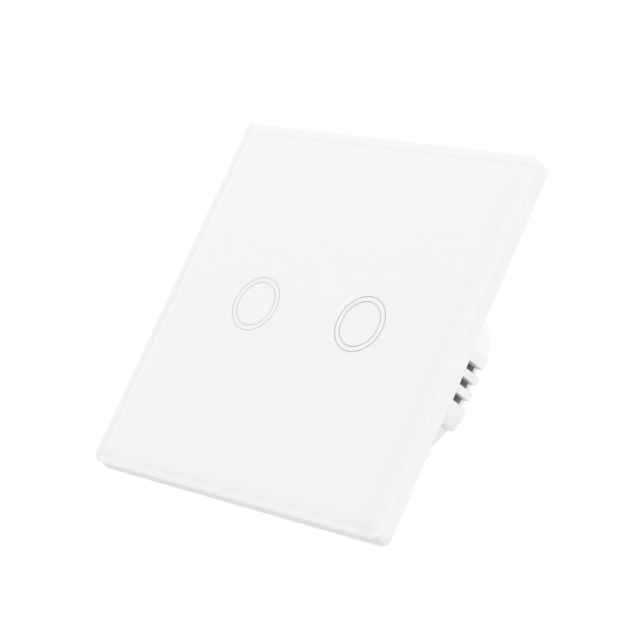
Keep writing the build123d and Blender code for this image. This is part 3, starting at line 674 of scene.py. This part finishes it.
# %% [markdown]
# A frame of foam tape holds the pane. It is pressed flat and comes out level with the rim of the
# glass, so hardly any groove is left between the glass and the plastic. It is a ring with a square
# section: four outlines, each joined to the next, and the last to the first.

# %% Bonding tape


def hollow(loops):
    """A closed ring from four outlines with equal numbers of points, in order round its section."""
    count = len(loops[0])
    points = [point for loop in loops for point in loop]
    faces = []
    for level in range(len(loops)):
        low, high = level * count, (level + 1) % len(loops) * count
        for step in range(count):
            beside = (step + 1) % count
            faces.append((low + step, high + step, high + beside, low + beside))
    return points, faces


tape_low, tape_high = box_in_mm("bonding_tape")
tape_inset, tape_width = 0.03, 5.0
tape_side = panel_side - 2 * tape_inset
tape_opening = 2 * (tape_high.x - tape_width)
opening_corner = 0.2
tape_steps = 6
tape = hollow(
    [
        rounded(tape_side, tape_side, pane_corner, tape_low.y, tape_steps),
        rounded(tape_side, tape_side, pane_corner, tape_high.y, tape_steps),
        rounded(tape_opening, tape_opening, opening_corner, tape_high.y, tape_steps),
        rounded(tape_opening, tape_opening, opening_corner, tape_low.y, tape_steps),
    ]
)
piece("pressed_tape", tape, foam_tape, "front_panel", ("bonding_tape",))
print("tape", round(tape_side, 2), "mm wide outside")

# %% [markdown]
# Each touch mark is two thin grey rings of print. The left pair is a little paler than the right.
# The rings could be painted into the glass material, but as thin rings of their own, a few
# hundredths of a millimetre thick, they stay sharp at any distance and can be told apart.

# %% Touch marks


def printed(name, colour):
    """Screen print: a matt ink with tiny light and dark spots."""
    material, tree, shader = start_material(name)
    spots = noise(tree, place(tree), 8.0)
    ink = ramp(tree, spots, [(0.3, shade(colour, 0.96)), (0.7, shade(colour, 1.04))])
    join(tree, ink, shader.inputs["Base Color"])
    shader.inputs["Roughness"].default_value = 0.5
    return material


def circle(radius, depth, steps):
    """A circle in the plane of the wall, as a loop of points."""
    angles = [2 * math.pi * step / steps for step in range(steps)]
    return [(radius * math.cos(angle), depth, radius * math.sin(angle)) for angle in angles]


def thin_ring(radius, line, front, back, steps=160):
    """A flat ring of a line's width between two depths."""
    inner, outer = radius - line / 2, radius + line / 2
    sections = ((inner, front), (inner, back), (outer, back), (outer, front))
    return hollow([circle(edge, depth, steps) for edge, depth in sections])


def gathered(shapes):
    """Several shapes as one."""
    points, faces = [], []
    for some_points, some_faces in shapes:
        first = len(points)
        points.extend(some_points)
        faces.extend(tuple(first + index for index in face) for face in some_faces)
    return points, faces


def moved(shape, right=0.0, depth=0.0, up=0.0, turn=None):
    """The shape, turned first and then moved."""
    change = Matrix.Translation((right, depth, up)) @ (turn or Matrix.Identity(4))
    return [tuple(change @ Vector(point)) for point in shape[0]], shape[1]


mark_radii = (6.4, 5.2)
mark_line = 0.2
mark_greys = {"left": (0.58, 0.60, 0.59), "right": (0.47, 0.49, 0.48)}
for side, colour in mark_greys.items():
    low, high = box_in_mm(f"touch_mark_{side}")
    rings = gathered([thin_ring(radius, mark_line, low.y, high.y) for radius in mark_radii])
    rings = moved(rings, right=(low.x + high.x) / 2)
    ink = printed(f"ring_print_{side}", colour)
    piece(f"printed_rings_{side}", rings, ink, "front_panel", (f"touch_mark_{side}",))
print("marks of", mark_radii, "mm radius")

# %% [markdown]
# Screws are turned parts with a cross pressed into the head. A real cross recess has four wings
# that narrow towards the bottom, so the cutter is a cross outline that shrinks with depth. It is
# carved out of the turned blank once for each kind of screw, and the copies share the result.

# %% Helpers for screws


def turned(profile, steps=40):
    """A shape turned about the depth axis, from (radius, depth) points that start and end on it."""
    points = [(0, profile[0][1], 0)]
    for radius, depth in profile[1:-1]:
        points.extend(circle(radius, depth, steps))
    points.append((0, profile[-1][1], 0))
    last = len(points) - 1
    foot = last - steps
    faces = []
    for step in range(steps):
        beside = (step + 1) % steps
        faces.append((0, 1 + step, 1 + beside))
        for level in range(len(profile) - 3):
            low, high = 1 + level * steps, 1 + (level + 1) * steps
            faces.append((low + step, high + step, high + beside, low + beside))
        faces.append((last, foot + beside, foot + step))
    return points, faces


def carved(shape, cutter):
    """The shape without the cutter."""
    blank = bpy.data.objects.new("blank", mesh_of("blank", shape))
    tool = bpy.data.objects.new("cutter", mesh_of("cutter", cutter))
    for thing in (blank, tool):
        bpy.context.scene.collection.objects.link(thing)
    carve = blank.modifiers.new("carve", "BOOLEAN")
    carve.operation = "DIFFERENCE"
    carve.solver = "EXACT"
    carve.object = tool
    bpy.context.view_layer.update()
    result = blank.evaluated_get(bpy.context.evaluated_depsgraph_get()).to_mesh()
    points = [tuple(vertex.co / MM) for vertex in result.vertices]
    faces = [tuple(face.vertices) for face in result.polygons]
    for thing in (blank, tool):
        bpy.data.objects.remove(thing)
    return points, faces


def cross_cutter(reach, wing, depth, above=0.3):
    """Fills a cross recess of that depth, from a little in front of the head."""
    loops = []
    for share, narrowed, level in ((1.12, 1.0, -above), (1.0, 1.0, 0.0), (0.5, 0.7, depth)):
        long, short = reach * share, wing / 2 * narrowed
        outline = []
        for quarter in range(4):
            cosine, sine = math.cos(math.pi / 2 * -quarter), math.sin(math.pi / 2 * -quarter)
            for right, up in ((short, short), (long, short), (long, -short)):
                outline.append((right * cosine - up * sine, level, right * sine + up * cosine))
        loops.append(outline)
    return stacked(loops)


print("helpers for screws ready")

# %% [markdown]
# Eight countersunk screws hold the steel plate and the cover to the columns of the housing. Their
# cone sits flush in the sheet. Two low round heads hold the touch board. No two screws stop at the
# same angle when they are driven home, so each copy is turned by its own amount.

# %% Screws of the plate, the cover and the touch board


def countersunk(head=2.0, neck=1.0, head_depth=0.9, length=6.0, tip=0.9):
    """A countersunk screw with its head at depth 0."""
    profile = [
        (0, 0), (head - 0.12, 0), (head - 0.03, 0.03), (head, 0.1), (neck, head_depth),
        (neck, length - tip), (0.25, length - 0.05), (0, length),
    ]
    return carved(turned(profile), cross_cutter(reach=1.15, wing=0.42, depth=0.75))


def pan_head(head, rise, neck, length, reach, wing):
    """A screw with a low domed head in front of depth 0."""
    profile = [
        (0, -rise), (head * 0.55, -rise * 0.97), (head * 0.82, -rise * 0.8), (head * 0.96, -rise * 0.45),
        (head, -0.08), (head - 0.08, 0), (neck, 0), (neck, length - 0.4), (0.2, length), (0, length),
    ]
    return carved(turned(profile), moved(cross_cutter(reach, wing, rise * 0.7), depth=-rise))


def twist(angle):
    """A turn about the depth axis, in degrees."""
    return Matrix.Rotation(math.radians(angle), 4, "Y")


def on_circle(radius, angles):
    """Right and up of the places at these angles on a circle."""
    turns = [math.radians(angle) for angle in angles]
    return [(radius * math.cos(angle), radius * math.sin(angle)) for angle in turns]


about_face = Matrix.Rotation(math.pi, 4, "X")
column_angles = (-20.0, 29.0, 160.0, 209.0)
plate_screw_radius, cover_screw_radius, board_screw_up = 24.6, 23.0, 20.0
plate_face = box_in_mm("mounting_plate")[0].y
cover_face = box_in_mm("rear_cover")[1].y
board_face = box_in_mm("touch_board")[0].y
twists = [twist(angle) for angle in (12, 47, -25, 70)]
sunk = countersunk()
plate_set = [
    moved(sunk, right, plate_face, up, turn)
    for (right, up), turn in zip(on_circle(plate_screw_radius, column_angles), twists)
]
cover_set = [
    moved(sunk, right, cover_face, up, about_face @ turn)
    for (right, up), turn in zip(on_circle(cover_screw_radius, column_angles), twists)
]
piece("plate_screw_set", gathered(plate_set), zinc_screw, "base", ("plate_screws",))
piece("cover_screw_set", gathered(cover_set), zinc_screw, "base", ("cover_screws",))
low_head = pan_head(head=1.5, rise=0.5, neck=0.8, length=2.4, reach=0.85, wing=0.36)
board_set = [
    moved(low_head, 0, board_face, up, turn)
    for up, turn in zip((board_screw_up, -board_screw_up), twists)
]
piece("board_screw_set", gathered(board_set), zinc_screw, "base", ("touch_board_screws",))
print("countersunk screws:", len(plate_set + cover_set), "low-head screws:", len(board_set))

# %% [markdown]
# The four terminal screws sit deep in the block, and only their heads show through the round
# openings. Such heads take two kinds of driver: a slot crosses the whole head, and a cross recess
# sits in its middle. The shank below has a real thread. It could be a swept profile, but letting
# the radius of a rod wander along the axis with the lead of the screw gives a clean closed mesh.

# %% Terminal screws


def threaded(radius, thread_depth, lead, start, end, steps=24, per_turn=8):
    """A closed threaded rod between two depths: the crest climbs one lead in each turn."""
    levels = round((end - start) / lead * per_turn) + 1
    loops = []
    for level in range(levels):
        depth = start + (end - start) * level / (levels - 1)
        loop = []
        for step in range(steps):
            angle = 2 * math.pi * step / steps
            wave = math.cos(2 * math.pi * (depth - start) / lead - angle)
            reach = radius - thread_depth * (0.5 - 0.5 * wave)
            loop.append((reach * math.cos(angle), depth, reach * math.sin(angle)))
        loops.append(loop)
    return stacked(loops)


screw_low, screw_high = box_in_mm("terminal_screw_1")
head_radius, head_rise = 2.55, 1.8
slot_length, slot_width, slot_depth, slot_corner = 5.6, 0.75, 0.85, 0.05
head_top = screw_high.y
head_seat = head_top - head_rise
head_profile = [
    (0, head_seat), (head_radius - 0.05, head_seat), (head_radius, head_seat + 0.1),
    (head_radius, head_top - 0.25), (head_radius - 0.2, head_top - 0.06), (head_radius - 0.4, head_top),
    (0, head_top),
]
slot_ends = (head_top - slot_depth, head_top + 0.5)
slot_cut = stacked([rounded(slot_length, slot_width, slot_corner, depth) for depth in slot_ends])
cross_cut = cross_cutter(reach=1.5, wing=0.62, depth=1.2)
cross_cut = moved(moved(cross_cut, depth=-head_top), turn=about_face)
screw_head = carved(carved(turned(head_profile, 48), slot_cut), cross_cut)
shank_end = head_seat + 0.05
screw_shank = threaded(radius=1.68, thread_depth=0.22, lead=0.6, start=screw_low.y, end=shank_end)
for number, angle in zip((1, 2, 3, 4), (24, -38, 71, 8)):
    low, high = box_in_mm(f"terminal_screw_{number}")
    across, up = (low.x + high.x) / 2, (low.z + high.z) / 2
    whole = moved(gathered([screw_head, screw_shank]), right=across, up=up, turn=twist(angle))
    stands_for = (f"terminal_screw_{number}",)
    piece(f"clamping_screw_{number}", whole, zinc_screw, f"screw_{number}", stands_for)
print("terminal screws with heads of", 2 * head_radius, "mm")

# %% [markdown]
# Behind each mark a coil spring carries the touch signal from the glass to the board. Its ends lie
# flat, and it climbs in between. Stacked outlines would kink, so a tube is laid along the line of
# the wire with Blender's curve tool and then kept as a mesh.

# %% Touch springs
wire = 0.4
coil_turns = 2.5
steps_per_turn = 40
flat_share = 0.12
for side in ("left", "right"):
    low, high = box_in_mm(f"touch_spring_{side}")
    across, up = (low.x + high.x) / 2, (low.z + high.z) / 2
    coil_radius = (high.z - low.z) / 2 - wire / 2
    line = bpy.data.curves.new(f"spring_line_{side}", "CURVE")
    line.dimensions = "3D"
    line.bevel_depth = wire / 2 * MM
    line.bevel_resolution = 3
    line.use_fill_caps = True
    strand = line.splines.new("POLY")
    steps = round(coil_turns * steps_per_turn)
    strand.points.add(steps)
    for step in range(steps + 1):
        angle = 2 * math.pi * coil_turns * step / steps
        climb = min(1.0, max(0.0, (step / steps - flat_share) / (1 - 2 * flat_share)))
        depth = high.y - wire / 2 - (high.y - low.y - wire) * climb
        spot = Vector((across + coil_radius * math.cos(angle), depth, up + coil_radius * math.sin(angle)))
        strand.points[step].co = (*(spot * MM), 1)
    tube = bpy.data.objects.new(f"spring_line_{side}", line)
    bpy.context.scene.collection.objects.link(tube)
    bpy.context.view_layer.update()
    mesh = bpy.data.meshes.new_from_object(tube.evaluated_get(bpy.context.evaluated_depsgraph_get()))
    bpy.data.objects.remove(tube)
    mesh.materials.clear()
    mesh.materials.append(spring_steel)
    carried(f"coil_spring_{side}", mesh, "base", (f"touch_spring_{side}",))
print("springs of", coil_turns, "turns of", wire, "mm wire")

# %% [markdown]
# The touch board faces the glass. Each spring stands on a tinned ring, and a lamp sits above and
# below it with its own small resistor. Lamps and resistors of this kind are tiny blocks soldered at
# both ends: a body, two bright caps, and a bead of solder that runs down to the board. They sit on
# the four quarters of the board, so one of each is made and then moved.

# %% Lamps and resistors
tin = metal("bright_tin", (0.74, 0.75, 0.76), roughness=0.22, streaks=(3.0, 3.0, 3.0))
ceramic = moulded("resistor_black", (0.03, 0.03, 0.032), roughness=0.35, cloud=0.1)
lamp_body = moulded("lamp_body", (0.86, 0.85, 0.74), roughness=0.2, cloud=0.02)
chip_length, chip_width = 1.6, 0.8
cap_width, cap_proud = 0.28, 0.02
lamp_rise, lamp_cap_rise, resistor_rise = 0.5, 0.22, 0.42
pad_radius, pad_width, pad_rise = 3.4, 1.1, 0.03


def block(width, height, corner, rise, draw_in=0.05):
    """A small moulded block on the board whose front is drawn in a little."""
    front = board_face - rise
    return stacked(
        [
            rounded(width - 2 * draw_in, height - 2 * draw_in, corner, front),
            rounded(width, height, corner, front + draw_in),
            rounded(width, height, corner, board_face),
        ]
    )


def soldered_ends(rise):
    """Two caps with a bead of solder each, round a body that lies along the first axis."""
    bead = [
        (0, board_face - rise * 0.75), (0.14, board_face - rise * 0.55), (0.30, board_face - 0.1),
        (0.42, board_face), (0, board_face),
    ]
    ends = []
    for sign in (-1, 1):
        cap = block(cap_width, chip_width + 2 * cap_proud, 0.04, rise + cap_proud, 0.03)
        ends.append(moved(cap, right=sign * (chip_length - cap_width) / 2))
        ends.append(moved(turned(bead, 16), right=sign * (chip_length / 2 + cap_proud)))
    return gathered(ends)


mark_low, mark_high = box_in_mm("touch_mark_right")
mark_across = (mark_low.x + mark_high.x) / 2
lamp_up = box_in_mm("indicator_leds")[1].z - chip_width / 2
resistor_across, resistor_up = mark_across * 0.62, lamp_up * 1.08
quarters = [(across, up) for across in (-1, 1) for up in (-1, 1)]
lamp_spots = [(across * mark_across, up * lamp_up) for across, up in quarters]
resistor_spots = [(across * resistor_across, up * resistor_up) for across, up in quarters]
lamp_shape = block(1.3, chip_width, 0.12, lamp_rise, 0.1)
resistor_shape = block(1.2, chip_width, 0.05, resistor_rise)
bodies = [moved(lamp_shape, right, 0, up) for right, up in lamp_spots]
piece("lamp_bodies", gathered(bodies), lamp_body, "base", ("indicator_leds",))
bodies = [moved(resistor_shape, right, 0, up) for right, up in resistor_spots]
piece("resistors", gathered(bodies), ceramic, "base")
tinned = [moved(soldered_ends(lamp_cap_rise), right, 0, up) for right, up in lamp_spots]
tinned += [moved(soldered_ends(resistor_rise), right, 0, up) for right, up in resistor_spots]
pad = thin_ring(pad_radius, pad_width, board_face - pad_rise, board_face, steps=96)
tinned += [moved(pad, right=across) for across in (-mark_across, mark_across)]
piece("tinned_ends", gathered(tinned), tin, "base")
print("lamps:", len(lamp_spots), "resistors:", len(resistor_spots))

# %% [markdown]
# Copper tracks lie under the green lacquer and show as raised paler lines. They lead from the
# springs and the lamps to the middle of the board, where the chip sits on the other side. They
# could be drawn in the material of the board, but flat strips laid along a few points have real
# edges, with a mitre at each bend.

# %% Copper tracks
track_width, track_rise = 0.42, 0.025
track_lacquer, track_tree, track_shader = start_material("lacquered_copper")
track_shader.inputs["Roughness"].default_value = 0.3
track_cloud = noise(track_tree, place(track_tree), 0.9)
track_green = ramp(track_tree, track_cloud, [(0.3, (0.030, 0.185, 0.075)), (0.7, (0.040, 0.220, 0.090))])
join(track_tree, track_green, track_shader.inputs["Base Color"])


def strip(route, width, front, back):
    """A flat strip along a route of (right, up) points, with mitred bends."""
    left, right = [], []
    for index, spot in enumerate(route):
        here = Vector(spot)
        before = (here - Vector(route[index - 1])).normalized() if index else None
        after = (Vector(route[index + 1]) - here).normalized() if index < len(route) - 1 else None
        before, after = before or after, after or before
        along = (before + after).normalized()
        side = Vector((-along.y, along.x)) * (width / 2 / max(0.5, along.dot(after)))
        left.append(here + side)
        right.append(here - side)
    outline = left + right[::-1]
    return stacked([[(spot.x, depth, spot.y) for spot in outline] for depth in (front, back)])


def mirrored(route, across, up):
    """The route in another quarter of the board, given by two signs."""
    return [(across * right, up * height) for right, height in route]


spring_route = [(12.2, 0.0), (9.0, 0.0), (6.5, 2.5), (4.0, 2.5)]
chip_route = [(2.0, 14.5), (2.0, 10.0), (3.2, 8.8), (3.2, 5.8)]
socket_route = [(1.0, -12.5), (1.0, -9.6)]
lamp_route = [(14.8, lamp_up), (12.6, lamp_up), (11.0, lamp_up + 0.5)]
resistor_route = [(8.9, resistor_up), (6.8, resistor_up), (5.6, 5.0), (2.4, 5.0)]
routes = [
    mirrored(route, across, 1) for route in (spring_route, chip_route, socket_route) for across in (-1, 1)
]
routes += [mirrored(route, across, up) for route in (lamp_route, resistor_route) for across, up in quarters]
tracks = [strip(route, track_width, board_face - track_rise, board_face) for route in routes]
piece("copper_tracks", gathered(tracks), track_lacquer, "base")
print("tracks:", len(routes))
